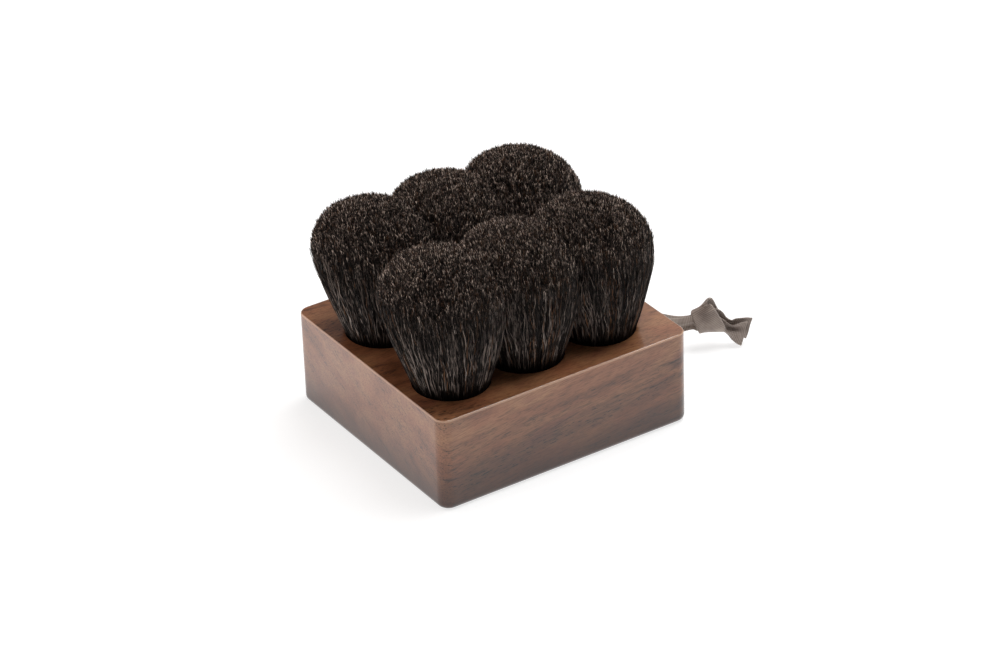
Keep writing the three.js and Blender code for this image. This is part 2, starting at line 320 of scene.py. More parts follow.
def walnut():
    """American walnut, sanded and oiled: satin, with soft dark growth bands and short open pores along them.

    A cloudy brown is multiplied by the bands, the fibres, the dark streaks and the pores; streaks and
    pores are strongest in the bands, and the bands are weaker on the left end. The sides are darkened
    towards the foot as painted shade, and the top edges carry a thin pale line that is a painted highlight.
    """
    material, tree, shader = new_material("oiled_walnut")
    place = add_node(tree, "TexCoord").outputs["Object"]
    pattern = {}
    for name, (sizes, detail, roughness) in WOOD_PATTERNS.items():
        space = wood_space(tree, place, sizes)
        noise = add_node(tree, "TexNoise", Vector=space, Scale=1.0, Detail=detail, Roughness=roughness)
        pattern[name] = noise.outputs["Fac"]
    base = ramp(tree, pattern["cloud"], [
        (0.30, "#8c5a3c"), (0.45, "#9b6546"), (0.58, "#a3724f"), (0.72, "#925e45"),
    ])
    band = ramp(tree, pattern["bands"], [
        (0.42, "#ffffff"), (0.56, "#d8d2d2"), (0.64, "#b6b0b3"), (0.74, "#ece8e8"),
    ])
    grain = ramp(tree, pattern["fibres"], [(0.32, "#c6beb9"), (0.55, "#ffffff")])
    dark = ramp(tree, pattern["streaks"], [(0.32, "#5a5255"), (0.46, "#ffffff")])
    pore = ramp(tree, pattern["pores"], [(0.32, "#3d3331"), (0.39, "#ffffff")])
    smooth = {"interpolation_type": "SMOOTHSTEP"}
    in_band = add_node(tree, "MapRange", smooth, i0=pattern["bands"], i1=0.47, i2=0.62).outputs[0]
    parts = add_node(tree, "SeparateXYZ", Vector=place)
    left_end = add_node(tree, "MapRange", i0=parts.outputs["X"], i1=-45 * MM, i2=-36 * MM, i3=0.3, i4=0.85)
    streak_share = add_node(tree, "MapRange", i0=in_band, i3=0.28, i4=0.75)
    pore_share = add_node(tree, "MapRange", i0=in_band, i3=0.3, i4=0.9)
    mixed = layer_over(tree, base, band, left_end.outputs[0])
    mixed = layer_over(tree, mixed, grain, 0.9)
    mixed = layer_over(tree, mixed, dark, streak_share.outputs[0])
    mixed = layer_over(tree, mixed, pore, pore_share.outputs[0])
    # Painted shade: the colour darkens over the lowest 24 mm towards the foot.
    painted_shade_height = add_node(tree, "MapRange", i0=parts.outputs["Z"], i1=0.0, i2=24 * MM).outputs[0]
    mixed = layer_over(tree, mixed, ramp(tree, painted_shade_height, [
        (0.0, "#655046"), (0.25, "#9c8a7f"), (0.55, "#dbd0c8"), (1.0, "#ffffff"),
    ]))
    # Painted highlight: a pale peach line along the rounded top edges and hole edges, in the top 1 mm.
    rim_rise = add_node(tree, "MapRange", i0=parts.outputs["Z"], i1=30.5 * MM, i2=31.5 * MM).outputs[0]
    painted_rim_highlight = ramp(tree, rim_rise, [(0.35, "#000000"), (0.55, "#c0c0c0"), (0.85, "#c0c0c0"), (0.97, "#000000")])
    mixed = add_node(tree, "Mix", {"data_type": "RGBA"}, i0=painted_rim_highlight, i6=mixed, i7=linear("#e6bfa4")).outputs[2]
    tree.links.new(mixed, shader.inputs["Base Color"])
    depth = add_node(tree, "Math", {"operation": "MULTIPLY"}, i0=pore, i1=grain).outputs[0]
    bump = add_node(tree, "Bump", Height=depth, Strength=0.15, Distance=0.05 * MM)
    tree.links.new(bump.outputs["Normal"], shader.inputs["Normal"])
    gloss = add_node(tree, "MapRange", i0=pattern["cloud"], i3=0.36, i4=0.28)
    tree.links.new(gloss.outputs[0], shader.inputs["Roughness"])
    set_shader(shader, IOR=1.45, Coat_Weight=0.65, Coat_Roughness=0.14)
    return material


def goat_hair():
    """Black-brown goat hair, washed and trimmed: dull fibres, with painted shade at the root and pale tips.

    The UV map gives a hair's shade across, from black through grey-brown to auburn, and the share of its
    length upwards. The cut tips are paler, partly in their own colour and partly as a painted highlight,
    and painted glints about 6 mm long lie along each hair, different for each shade.
    """
    material, tree, shader = new_material("goat_hair")
    spot = add_node(tree, "UVMap", {"uv_map": "OFBake"}).outputs["UV"]
    parts = add_node(tree, "SeparateXYZ", Vector=spot)
    shade = ramp(tree, parts.outputs["X"], [
        (0.0, "#141110"), (0.45, "#231d1b"), (0.60, "#4a3f3a"), (0.76, "#b3a299"), (0.90, "#ecdcd2"),
        (0.93, "#7a5a45"), (1.0, "#b98a68"),
    ])
    # Painted highlights: glints about 6 mm long along each hair, different for each shade.
    apart = add_node(tree, "Mapping", Vector=spot, Scale=(SHADES, 7, 1)).outputs["Vector"]
    painted_glint_noise = add_node(tree, "TexNoise", Vector=apart, Scale=1.0, Detail=1.0)
    painted_glint = ramp(tree, painted_glint_noise.outputs["Fac"], [(0.41, "#3c3c3c"), (0.58, "#ffffff")])
    # Painted shade: the hairs go near black up to about 0.13 of their length, with an edge made ragged by
    # noise.
    uneven = add_node(tree, "MapRange", i0=painted_glint_noise.outputs["Fac"], i1=0.3, i2=0.7, i3=-0.04, i4=0.04)
    along = add_node(tree, "Math", {"operation": "ADD"}, i0=parts.outputs["Y"], i1=uneven.outputs[0])
    # Past 0.92 of the length the hair pales: partly the cut tips' own colour, partly a painted highlight.
    height = ramp(tree, along.outputs[0], [
        (0.13, "#101010"), (0.27, "#dadada"), (0.92, "#b8b5b2"), (0.975, "#fff6ee"),
    ])
    colour = layer_over(tree, layer_over(tree, shade, painted_glint), height)
    tree.links.new(colour, shader.inputs["Base Color"])
    set_shader(shader, IOR=1.45, Roughness=0.5, Specular_IOR_Level=0.2, Specular_Tint=linear("#fff1ea"))
    return material


def ribbon_cloth():
    """Cotton grosgrain ribbon, woven: matt, with a fine rib across its width, a groove every 0.5 mm.

    The ribs are stripes along the UV map's u, which is the distance along in units of 100 mm; the cloth's
    faded patches are about 4 mm wide.
    """
    material, tree, shader = new_material("cotton_grosgrain")
    spot = add_node(tree, "UVMap", {"uv_map": "OFBake"}).outputs["UV"]
    place = add_node(tree, "TexCoord").outputs["Object"]
    rib = add_node(tree, "TexWave", {"bands_direction": "X"}, Vector=spot, Scale=60.0, Distortion=0.6)
    cloud = add_node(tree, "TexNoise", Vector=place, Scale=260.0, Detail=4.0)
    base = ramp(tree, cloud.outputs["Fac"], [(0.3, "#8d8078"), (0.5, "#a09289"), (0.72, "#b1a398")])
    groove = ramp(tree, rib.outputs["Fac"], [(0.0, "#b9b2ad"), (0.6, "#ffffff")])
    tree.links.new(layer_over(tree, base, groove, 0.8), shader.inputs["Base Color"])
    bump = add_node(tree, "Bump", Height=rib.outputs["Fac"], Strength=0.35, Distance=0.08 * MM)
    tree.links.new(bump.outputs["Normal"], shader.inputs["Normal"])
    set_shader(shader, Roughness=0.72, Sheen_Weight=0.25, Sheen_Roughness=0.4)
    return material


def waxed_thread():
    """Waxed linen thread, twisted: dull tan, with the slanting twist of its plies about 0.7 mm apart."""
    material, tree, shader = new_material("waxed_linen_thread")
    place = add_node(tree, "TexCoord").outputs["Object"]
    slanting = {"bands_direction": "DIAGONAL"}
    twist = add_node(tree, "TexWave", slanting, Vector=place, Scale=900.0, Distortion=1.0)
    colour = ramp(tree, twist.outputs["Fac"], [(0, "#5f4c38"), (1, "#9a8464")])
    tree.links.new(colour, shader.inputs["Base Color"])
    bump = add_node(tree, "Bump", Height=twist.outputs["Fac"], Strength=0.5, Distance=0.1 * MM)
    tree.links.new(bump.outputs["Normal"], shader.inputs["Normal"])
    set_shader(shader, Roughness=0.6)
    return material


def casting_resin():
    """Clear epoxy, poured: glassy amber with a little cloud in it, about 6 mm across."""
    material, tree, shader = new_material("amber_epoxy")
    place = add_node(tree, "TexCoord").outputs["Object"]
    cloud = add_node(tree, "TexNoise", Vector=place, Scale=180.0, Detail=3.0)
    colour = ramp(tree, cloud.outputs["Fac"], [(0.3, "#7d5320"), (0.7, "#b98a45")])
    tree.links.new(colour, shader.inputs["Base Color"])
    set_shader(shader, Roughness=0.18, IOR=1.52)
    return material


def drawn_brass():
    """Brass rod, drawn: warm metal with lines along its length, about 0.2 mm wide and 17 mm long."""
    material, tree, shader = new_material("drawn_brass")
    place = add_node(tree, "TexCoord").outputs["Object"]
    stretched = add_node(tree, "Mapping", Vector=place, Scale=(5000, 5000, 60)).outputs["Vector"]
    lines = add_node(tree, "TexNoise", Vector=stretched, Scale=1.0, Detail=2.0)
    colour = ramp(tree, lines.outputs["Fac"], [(0.3, "#b08d48"), (0.7, "#d3b06a")])
    tree.links.new(colour, shader.inputs["Base Color"])
    gloss = add_node(tree, "MapRange", i0=lines.outputs["Fac"], i3=0.25, i4=0.45)
    tree.links.new(gloss.outputs[0], shader.inputs["Roughness"])
    set_shader(shader, Metallic=1.0)
    return material


# ---------------------------------------------------------------- ribbon strap

RIBBON_WIDTH = 8.0
RIBBON_THICKNESS = 0.45
RIBBON_GATHER = 3.4
SELVAGE_SHARE = 0.06
GATHER_START = 49.0
LEAN_START = 46.0
LEAN_LENGTH = 26.0
UV_LENGTH = 100.0
PIN_PLACE = (40.5, 0.5)
KNOT_START = np.array([70.9, -7.1])
KNOT_HEADING = np.array([0.897, -0.442])
KNOT_ASIDE = np.array([KNOT_HEADING[1], -KNOT_HEADING[0]])


def by_knot(along, height, aside):
    """The place KNOT_START + along * KNOT_HEADING + aside * KNOT_ASIDE in plan, at a height."""
    plan = KNOT_START + np.multiply.outer(along, KNOT_HEADING)
    plan = plan + np.multiply.outer(aside, KNOT_ASIDE)
    return np.concatenate([plan, np.asarray(height)[..., None]], -1)


def ribbon_surface(centres, across, width, fold, closed):
    """A thin woven band as a grid: each centre's section is width across, with one soft S of height fold.

    A point is centre + across * width / 2 * v + normal * (fold * sin(1.5 pi v) + half thickness * side),
    where v goes from -1 to 1 on one face and back on the other, so that each section is a closed loop.
    side is 1 on one face and -1 on the other, and falls to 0 at the edges with the square root of the
    distance to the edge.
    """
    ahead = np.roll(centres, -1, 0) - np.roll(centres, 1, 0)
    if not closed:
        ahead[0] = centres[1] - centres[0]
        ahead[-1] = centres[-1] - centres[-2]
    across = unit(across - unit(ahead) * np.sum(across * unit(ahead), -1, keepdims=True))
    normal = np.cross(unit(ahead), across)
    v = np.linspace(-1, 1, 25)
    edge = np.concatenate([v, v[::-1]])
    taper = np.clip((1 - np.abs(edge)) / SELVAGE_SHARE, 0.0, 1.0) ** 0.5
    side = np.repeat([1.0, -1.0], len(v)) * taper * RIBBON_THICKNESS * MM / 2
    wave = np.multiply.outer(fold, np.sin(1.5 * np.pi * edge)) + side
    reach = np.multiply.outer(width / 2, edge)
    return centres[:, None] + across[:, None] * reach[..., None] + normal[:, None] * wave[..., None]


def ribbon_piece(name, rows, steps, closed=False):
    """A ribbon along rows of x, y, z, across x, y, z, seen width and fold height; gives piece and line.

    A closed ribbon's last row joins its first. An open one is shut at each end by joining its two faces.
    """
    if closed:
        path = smooth_path([rows[-1], *rows, rows[0], rows[1]], steps)[steps:-steps - 1]
        path = path[:len(rows) * steps]
    else:
        path = smooth_path(rows, steps)
    grid = ribbon_surface(path[:, :3] * MM, path[:, 3:6], path[:, 6] * MM, path[:, 7] * MM, closed)
    length = np.concatenate([[0], np.cumsum(np.linalg.norm(np.diff(path[:, :3], axis=0), axis=1))])
    patches = [(grid, True)]
    if closed:
        patches.append((np.stack([grid[-1], grid[0]]), True))
    else:
        for end in (0, -1):
            half = grid.shape[1] // 2
            patches.append((np.stack([grid[end][:half], grid[end][:half - 1:-1]]), False))
    piece = piece_from_patches(name, patches)
    add_ribbon_uv(piece, length, grid)
    return piece, path[:, :3] * MM


def add_ribbon_uv(piece, length, grid):
    """UV from the nearest point of the grid: u is the distance along over 100 mm, v 0.1 to 0.2 across."""
    columns = grid.shape[1]
    half = columns // 2
    places = np.zeros(3 * len(piece.data.vertices), np.float32)
    piece.data.vertices.foreach_get("co", places)
    row, column = np.divmod(nearest(places.reshape(-1, 3), grid.reshape(-1, 3)), columns)
    share = np.where(column < half, column, columns - 1 - column) / (half - 1)
    corner = np.zeros(len(piece.data.loops), np.int32)
    piece.data.loops.foreach_get("vertex_index", corner)
    uv = np.stack([length[row] / UV_LENGTH, 0.1 + 0.1 * share], -1)
    layer = piece.data.uv_layers.new(name="OFBake")
    layer.data.foreach_set("uv", uv[corner].astype(np.float32).ravel())


def strand_rows(route, side, tilt):
    """Rows for a strand: on edge round the back of the pin on one side, then along a route of x, y and z.

    Towards the knot the ribbon gathers by RIBBON_GATHER * t * t * (3 - 2t), where t goes from 0 to 1, and
    folds by a tenth of that. Its upper edge leans to +Y by tilt * sin(pi * s), where s goes from 0 to 1
    over LEAN_LENGTH from LEAN_START.
    """
    turn = [(38.5, 0.5, 15.2), (39.1, 0.5 + 1.4 * side, 15.2), (40.6, 0.5 + 2.0 * side, 15.2)]
    rows = []
    for x, y, z in turn + route:
        share = float(np.clip((x - GATHER_START) / (KNOT_START[0] - GATHER_START), 0, 1))
        gathered = RIBBON_GATHER * share * share * (3 - 2 * share)
        lean = math.radians(tilt) * math.sin(math.pi * float(np.clip((x - LEAN_START) / LEAN_LENGTH, 0, 1)))
        rows.append((x, y, z, 0, math.sin(lean), math.cos(lean), RIBBON_WIDTH - gathered, 0.1 * gathered))
    return rows


def knot_row(along, height, aside, lean, seen, fold, tilt=0):
    """A row by the knot: its place, its edge-to-edge line, its seen width and its fold.

    The edge-to-edge line rises by lean degrees from the knot's heading and turns aside by tilt degrees.
    """
    slope, turn = math.radians(lean), math.radians(tilt)
    forward = KNOT_HEADING * math.cos(slope) * math.cos(turn)
    sideways = KNOT_ASIDE * math.sin(turn)
    upward = math.sin(slope) * math.cos(turn)
    return (*by_knot(along, height, aside), *(forward + sideways), upward, seen, fold)


def strap(cloth):
    """The ribbon: two cords from the slot through the knot to their cut tails, and the knot's band."""
    near = strand_rows([
        (44.4, -1.5, 15.1), (47.5, -1.9, 14.6), (53, -3.2, 12.6),
        (60, -5, 10.4), (66, -6.3, 9.5), (70.2, -8.2, 9.9),
    ], -1, 0)
    near += [
        knot_row(3.0, 9.2, 0.9, 90, 6.2, -0.2),
        knot_row(7.0, 8.6, 0.9, 88, 5.8, -0.2),
        knot_row(10.2, 7.0, 0.9, 84, 4.2, -0.6),
        knot_row(11.8, 6.1, 1.2, 80, 4.2, -0.9, -8),
        knot_row(13.4, 5.4, 1.6, 76, 6.0, -0.8, -14),
        knot_row(14.9, 4.9, 1.8, 73, 7.4, -0.5, -18),
        knot_row(16.4, 4.4, 1.8, 71, 8.2, -0.2, -18),
    ]
    far = strand_rows([
        (44.4, 2.5, 15.1), (47.5, 2.9, 14.9), (53, 3.2, 13.0),
        (60, 0.1, 10.3), (66, -3.6, 8.9), (70.5, -6.3, 9.1),
    ], 1, 38)
    far += [
        knot_row(3.0, 9.6, -0.7, 90, 6.6, -0.2),
        knot_row(6.8, 9.8, -0.8, 90, 7.2, -0.2),
        knot_row(9.6, 7.9, -0.7, 90, 5.0, -0.3),
        knot_row(12.0, 6.7, -0.6, 90, 4.4, -0.5),
        knot_row(13.9, 6.3, -0.6, 88, 6.0, -0.4),
        knot_row(16.2, 5.5, -0.6, 86, 7.6, -0.3),
        knot_row(18.4, 4.9, -0.5, 84, 8.0, -0.2),
    ]
    band_rows = [
        knot_row(2.5, 14.7, 0.7, 46, 7.4, 0.0),
        knot_row(3.5, 12.8, 2.2, 36, 8.0, 0.15),
        knot_row(4.7, 10.2, 2.9, 18, 8.2, 0.25),
        knot_row(5.9, 7.4, 2.4, 2, 8.4, 0.15),
        knot_row(6.5, 5.4, 0.0, -4, 8.2, 0.0),
        knot_row(6.1, 7.2, -2.3, 2, 8.2, 0.15),
        knot_row(5.3, 9.8, -2.7, 14, 8.0, 0.25),
        knot_row(4.5, 12.2, -2.1, 30, 7.6, 0.15),
        knot_row(3.5, 14.8, -0.7, 42, 7.4, 0.0),
    ]
    band, _ = ribbon_piece("strap_knot_band", band_rows, 8, closed=True)
    pieces = [band]
    for name, rows, nodes, exit_place in (
        ("strap_ribbon_near", near, ["strap_strand_near", "strap_tail_near", "strap_eye"], (45, -1.6, 15.2)),
        ("strap_ribbon_far", far, ["strap_strand_far", "strap_tail_far"], (45, 2.6, 15.2)),
    ):
        piece, line = ribbon_piece(name, rows, 6)
        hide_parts(*nodes)
        pieces.append(piece)
    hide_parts("strap_knot")
    for piece in pieces:
        piece.data.materials.append(cloth)
        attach(piece, "strap")


# ---------------------------------------------------------------- walnut block

CORNER_RADIUS = 4.0
FOOT_ROUND = 2.0
RIM_ROUND = 0.6
HOLE_EDGE = 0.25
SLOT_HALF = 5.2
SLOT_CORNER = 2.0
SLOT_DEPTH = 9.5
SLOT_EDGE = 0.5
SLOT_CENTRE = (0.5, 15.2)
PANEL_SIDES = (-7.5, 8.5)
PANEL_FOOT, PANEL_TOP = 7.6, 22.8
BORE_RADIUS = 1.5
BORE_DEPTH = 3.6
BORE_EDGE = 0.1
RESIN_GAP = 0.3
RUN_STEPS = 18
ARC_STEPS = 8


def tuft_names():
    """The six tufts' names, by row and place in the row."""
    return [f"{row}_{column}" for row in ("front", "rear") for column in ("left", "middle", "right")]


def hole_of(name):
    """The centre and the radius of a hole: the middle and half the width, plus a gap, of its resin disc."""
    low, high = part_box(f"root_resin_{name}")
    centre = (low + high) / 2 / MM
    return np.array([centre.x, centre.y]), (high.y - low.y) / 2 / MM + RESIN_GAP


def straight(start, end):
    """Even points from start up to, and without, the end: start + share * (end - start)."""
    share = np.linspace(0, 1, RUN_STEPS, endpoint=False)[:, None]
    return np.array(start) + share * (np.array(end) - np.array(start))


def straights(*corners):
    """A straight run from each corner to the next."""
    return [straight(start, end) for start, end in zip(corners, corners[1:])]


def rounding(radius, angles):
    """A rounded edge as pairs: radius * (1 - sin angle) and radius * (1 - cos angle)."""
    return [(radius * (1 - math.sin(a)), radius * (1 - math.cos(a))) for a in np.radians(angles)]


def block_outline(half_x, half_y, splits_x, split_y):
    """The block's outline in plan as named runs of points with the outward direction at each point.

    Straight runs stop where the top's six fields and the slot's panel begin. The corners are quarter
    circles, middle + CORNER_RADIUS * (cos angle, sin angle), given by the angle at which each begins.
    """
    flat_x, flat_y = half_x - CORNER_RADIUS, half_y - CORNER_RADIUS
    left, right = splits_x
    stops = {
        "front_middle": ((left, -half_y), (right, -half_y)),
        "front_right": ((right, -half_y), (flat_x, -half_y)),
        "arc_0": -90,
        "right_a": ((half_x, -flat_y), (half_x, PANEL_SIDES[0])),
        "right_b": ((half_x, PANEL_SIDES[0]), (half_x, split_y)),
        "right_c": ((half_x, split_y), (half_x, PANEL_SIDES[1])),
        "right_d": ((half_x, PANEL_SIDES[1]), (half_x, flat_y)),
        "arc_1": 0,
        "rear_right": ((flat_x, half_y), (right, half_y)),
        "rear_middle": ((right, half_y), (left, half_y)),
        "rear_left": ((left, half_y), (-flat_x, half_y)),
        "arc_2": 90,
        "left_a": ((-half_x, flat_y), (-half_x, split_y)),
        "left_b": ((-half_x, split_y), (-half_x, -flat_y)),
        "arc_3": 180,
        "front_left": ((-flat_x, -half_y), (left, -half_y)),
    }
    runs = {}
    for name, stop in stops.items():
        if isinstance(stop, tuple):
            points = straight(*stop)
            along = unit(np.array(stop[1]) - np.array(stop[0]))
            normals = np.tile([along[1], -along[0]], (len(points), 1))
        else:
            angle = np.radians(stop + 90 * np.linspace(0, 1, ARC_STEPS, endpoint=False))
            normals = np.stack([np.cos(angle), np.sin(angle)], -1)
            middle = np.sign([math.cos(math.radians(stop + 45)), math.sin(math.radians(stop + 45))])
            points = middle * [flat_x, flat_y] + CORNER_RADIUS * normals
        runs[name] = (points, normals)
    return runs


def at_height(plan, z):
    """Plan points lifted to a height, in metres."""
    return np.concatenate([plan, np.full((*plan.shape[:-1], 1), float(z))], -1) * MM


def hole_loops(loop, centre, radius, top, floor):
    """Loops from a field's border to the hole, down its wall and to the middle of its floor.

    A point is centre + ray * radius, at a height: each keeps its direction from the hole's centre, so
    that loops differ only in radius and height.
    """
    ray = unit(loop - centre)
    profile = [(radius + 1.2, top), (radius + HOLE_EDGE, top)]
    profile += [(radius + out, top - down) for out, down in rounding(HOLE_EDGE, [30, 60, 90])]
    profile += [(radius, top - 1.0), (radius, floor + 0.3)]
    profile += [(radius, floor), (radius - 0.5, floor), (0.0, floor)]
    loops = [at_height(loop, top)]
    loops += [at_height(centre + ray * reach, z) for reach, z in profile]
    return np.stack(loops)


def slot_loops(loop, half_x):
    """Loops on the end face from the panel's border into the slot; a loop is [y, z].

    A point's place on a loop is SLOT_CENTRE + core + ray * (SLOT_CORNER + grow), where core is the
    nearest point of the square that the corners' centres make, and ray the direction from it to the
    border.
    """
    local = loop - np.array(SLOT_CENTRE)
    core = np.clip(local, SLOT_CORNER - SLOT_HALF, SLOT_HALF - SLOT_CORNER)
    ray = unit(local - core)
    profile = [(SLOT_EDGE + 0.5, 0.0), (SLOT_EDGE, 0.0)]
    profile += rounding(SLOT_EDGE, [25, 50, 75, 90])
    profile += [(0.0, 1.5), (0.0, SLOT_DEPTH - 0.3), (0.0, SLOT_DEPTH)]
    loops = [(loop, 0.0)]
    loops += [(SLOT_CENTRE + core + ray * (SLOT_CORNER + grow), depth) for grow, depth in profile]
    loops.append((SLOT_CENTRE + core * 0.9, SLOT_DEPTH))
    loops.append((np.broadcast_to(SLOT_CENTRE, core.shape), SLOT_DEPTH))
    places = [np.concatenate([np.full((len(p), 1), half_x - depth), p], -1) * MM for p, depth in loops]
    return np.stack(places)


def block_patches():
    """The block's surface: its side round the outline, six fields with holes, the slot's panel, the foot.

    A point of the side is the outline's point less inset * its outward direction, at a height, where
    inset and height follow a profile: quarter rounds at foot and rim, and upright between them.
    """
    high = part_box("walnut_block")[1]
    half_x, half_y, top = high.x / MM, high.y / MM, high.z / MM
    holes = {name: hole_of(name) for name in tuft_names()}
    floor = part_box("root_resin_front_left")[0].z / MM - RESIN_GAP
    middle = holes["front_middle"][0][0]
    splits = [(holes["front_left"][0][0] + middle) / 2, (holes["front_right"][0][0] + middle) / 2]
    split_y = (holes["front_left"][0][1] + holes["rear_left"][0][1]) / 2
    runs = block_outline(half_x, half_y, splits, split_y)
    points = np.concatenate([run[0] for run in runs.values()])
    normals = np.concatenate([run[1] for run in runs.values()])
    foot = rounding(FOOT_ROUND, np.linspace(0, 90, 9))
    rim = [(inset, top - down) for down, inset in rounding(RIM_ROUND, np.linspace(0, 90, 7))]
    side = [(0.0, z) for z in (2.4, PANEL_FOOT, 11.4, 15.2, 19.0, PANEL_TOP, 27.0, top - RIM_ROUND - 0.3)]
    profile = foot + side + rim
    shell = np.stack([at_height(points - inset * normals, z) for inset, z in profile])
    heights = [z for _, z in profile]
    first, last = heights.index(PANEL_FOOT), heights.index(PANEL_TOP)
    starts = dict(zip(runs, np.cumsum([0] + [len(run[0]) for run in runs.values()])))
    a, b = starts["right_b"], starts["right_d"]
    patches = [(shell[:first + 1], True), (shell[last:], True)]
    ring = np.concatenate([shell[:, b:], shell[:, :a + 1]], 1)
    patches.append((ring[first:last + 1], False))
    panel = np.concatenate([
        shell[first, a:b], shell[first:last, b], shell[last, b:a:-1], shell[last:first:-1, a],
    ])[:, 1:] / MM
    patches.append((slot_loops(panel, half_x), True))
    inner = {name: run[0] - RIM_ROUND * run[1] for name, run in runs.items()}
    edge_x, edge_y = half_x - RIM_ROUND, half_y - RIM_ROUND
    left, right = splits
    fields = {
        "front_middle": [
            inner["front_middle"],
            *straights((right, -edge_y), (right, split_y), (left, split_y), (left, -edge_y)),
        ],
        "front_right": [
            inner["front_right"], inner["arc_0"], inner["right_a"], inner["right_b"],
            *straights((edge_x, split_y), (right, split_y), (right, -edge_y)),
        ],
        "rear_right": [
            inner["right_c"], inner["right_d"], inner["arc_1"], inner["rear_right"],
            *straights((right, edge_y), (right, split_y), (edge_x, split_y)),
        ],
        "rear_middle": [
            inner["rear_middle"],
            *straights((left, edge_y), (left, split_y), (right, split_y), (right, edge_y)),
        ],
        "rear_left": [
            inner["rear_left"], inner["arc_2"], inner["left_a"],
            *straights((-edge_x, split_y), (left, split_y), (left, edge_y)),
        ],
        "front_left": [
            inner["left_b"], inner["arc_3"], inner["front_left"],
            *straights((left, -edge_y), (left, split_y), (-edge_x, split_y)),
        ],
    }
    for name, parts in fields.items():
        centre, radius = holes[name]
        patches.append((hole_loops(np.concatenate(parts), centre, radius, top, floor), True))
    base = points - FOOT_ROUND * normals
    ray = unit(base - np.array(PIN_PLACE))
    bore = [(BORE_RADIUS + BORE_EDGE, 0), (BORE_RADIUS, BORE_EDGE)]
    bore += [(BORE_RADIUS, BORE_DEPTH), (0, BORE_DEPTH)]
    underside = [at_height(base, 0)]
    underside += [at_height(np.array(PIN_PLACE) + ray * reach, z) for reach, z in bore]
    patches.append((np.stack(underside), True))
    return patches


def block():
    """The walnut block: a soft foot, a crisp rim, six holes, the strap's slot and the pin's bore."""
    piece = piece_from_patches("walnut_block_body", block_patches())
    weights = piece.modifiers.new("even_shading", "WEIGHTED_NORMAL")
    weights.keep_sharp = False
    piece.data.materials.append(walnut())
    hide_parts("walnut_block")
    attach(piece, "block")


# ---------------------------------------------------------------- hair tufts

ROOT_RADIUS = 11.7
BELLY_RADIUS = 19.1
BELLY_HEIGHT = 28.0
TUFT_HEIGHT = 44.0
DOME_RISE = TUFT_HEIGHT - BELLY_HEIGHT
FLARE_POWER = 1.3
DOME_POWER = 2.3
LEAN = np.array([-2.9, 0.8])
LEAN_POWER = 1.5
ROOT_DEPTH = 2.5
BODY_SHARE = 0.93
BODY_COLUMNS = 72
BODY_SINK = 2.0

# A tuft's room: half the way to its neighbours in its own row, and to the other row.
ROOM = (13.15, 18.85)
PRESS_SOFTNESS = 0.4

# Real goat hair is about 0.08 thick. These hairs are up to 0.29 thick at the sides and 0.23 on the crown,
# and fewer, so that they show.
SIDE_HAIRS = 3000
SIDE_CLUMPS = 330
SIDE_THICKNESS = (0.9, 1, 1, 1, 1, 1, 1, 0.95, 0.75)
FLYAWAY_SHARE = 0.09
CROWN_HAIRS = 15500
CROWN_LOCKS = 2400
CROWN_DROPS = (4.0, 0.6, 0.0)
SHADES = 40
HAIR_SEED = 1200


def spread_radius(height):
    """The outer hairs' distance from the tuft's middle at a height: a flare that ends upright at the belly.

    It is root + (belly - root) * (1 - (1 - share) ^ 1.3), where share is the height over the belly's
    height.
    """
    share = np.clip(height / BELLY_HEIGHT, 0, 1)
    return ROOT_RADIUS + (BELLY_RADIUS - ROOT_RADIUS) * (1 - (1 - share) ** FLARE_POWER)


def dome_height(share):
    """The trimmed dome over a share of the belly's radius: belly + rise * (1 - share ^ 2) ^ (1 / 2.3)."""
    rise = np.clip(1 - share ** 2, 0, 1) ** (1 / DOME_POWER)
    return BELLY_HEIGHT + DOME_RISE * rise


def lean_at(height):
    """How far the whole tuft leans at a height: lean * (height / tuft height) ^ 1.5."""
    return LEAN * (np.clip(height, 0, None)[..., None] / TUFT_HEIGHT) ** LEAN_POWER


def keep_in_room(plan, side, step):
    """Presses plan points softly against the planes that part this tuft from its neighbours.

    A distance d towards a plane at limit becomes limit - s * ln(1 + e ^ ((limit - d) / s)), with the
    softness s: it stays d well inside and never passes the limit. The result is kept between 0 and d.
    """
    planes = [(0, sign, ROOM[0]) for sign in (-1, 1) if step != sign]
    planes.append((1, -side, ROOM[1]))
    pressed = plan.copy()
    for axis, sign, limit in planes:
        value = pressed[..., axis] * sign
        room = np.clip((limit - value) / PRESS_SOFTNESS, -30, 30)
        soft = np.maximum(limit - PRESS_SOFTNESS * np.log1p(np.exp(room)), 0)
        pressed[..., axis] = np.where(value > 0, np.minimum(value, soft) * sign, pressed[..., axis])
    return pressed


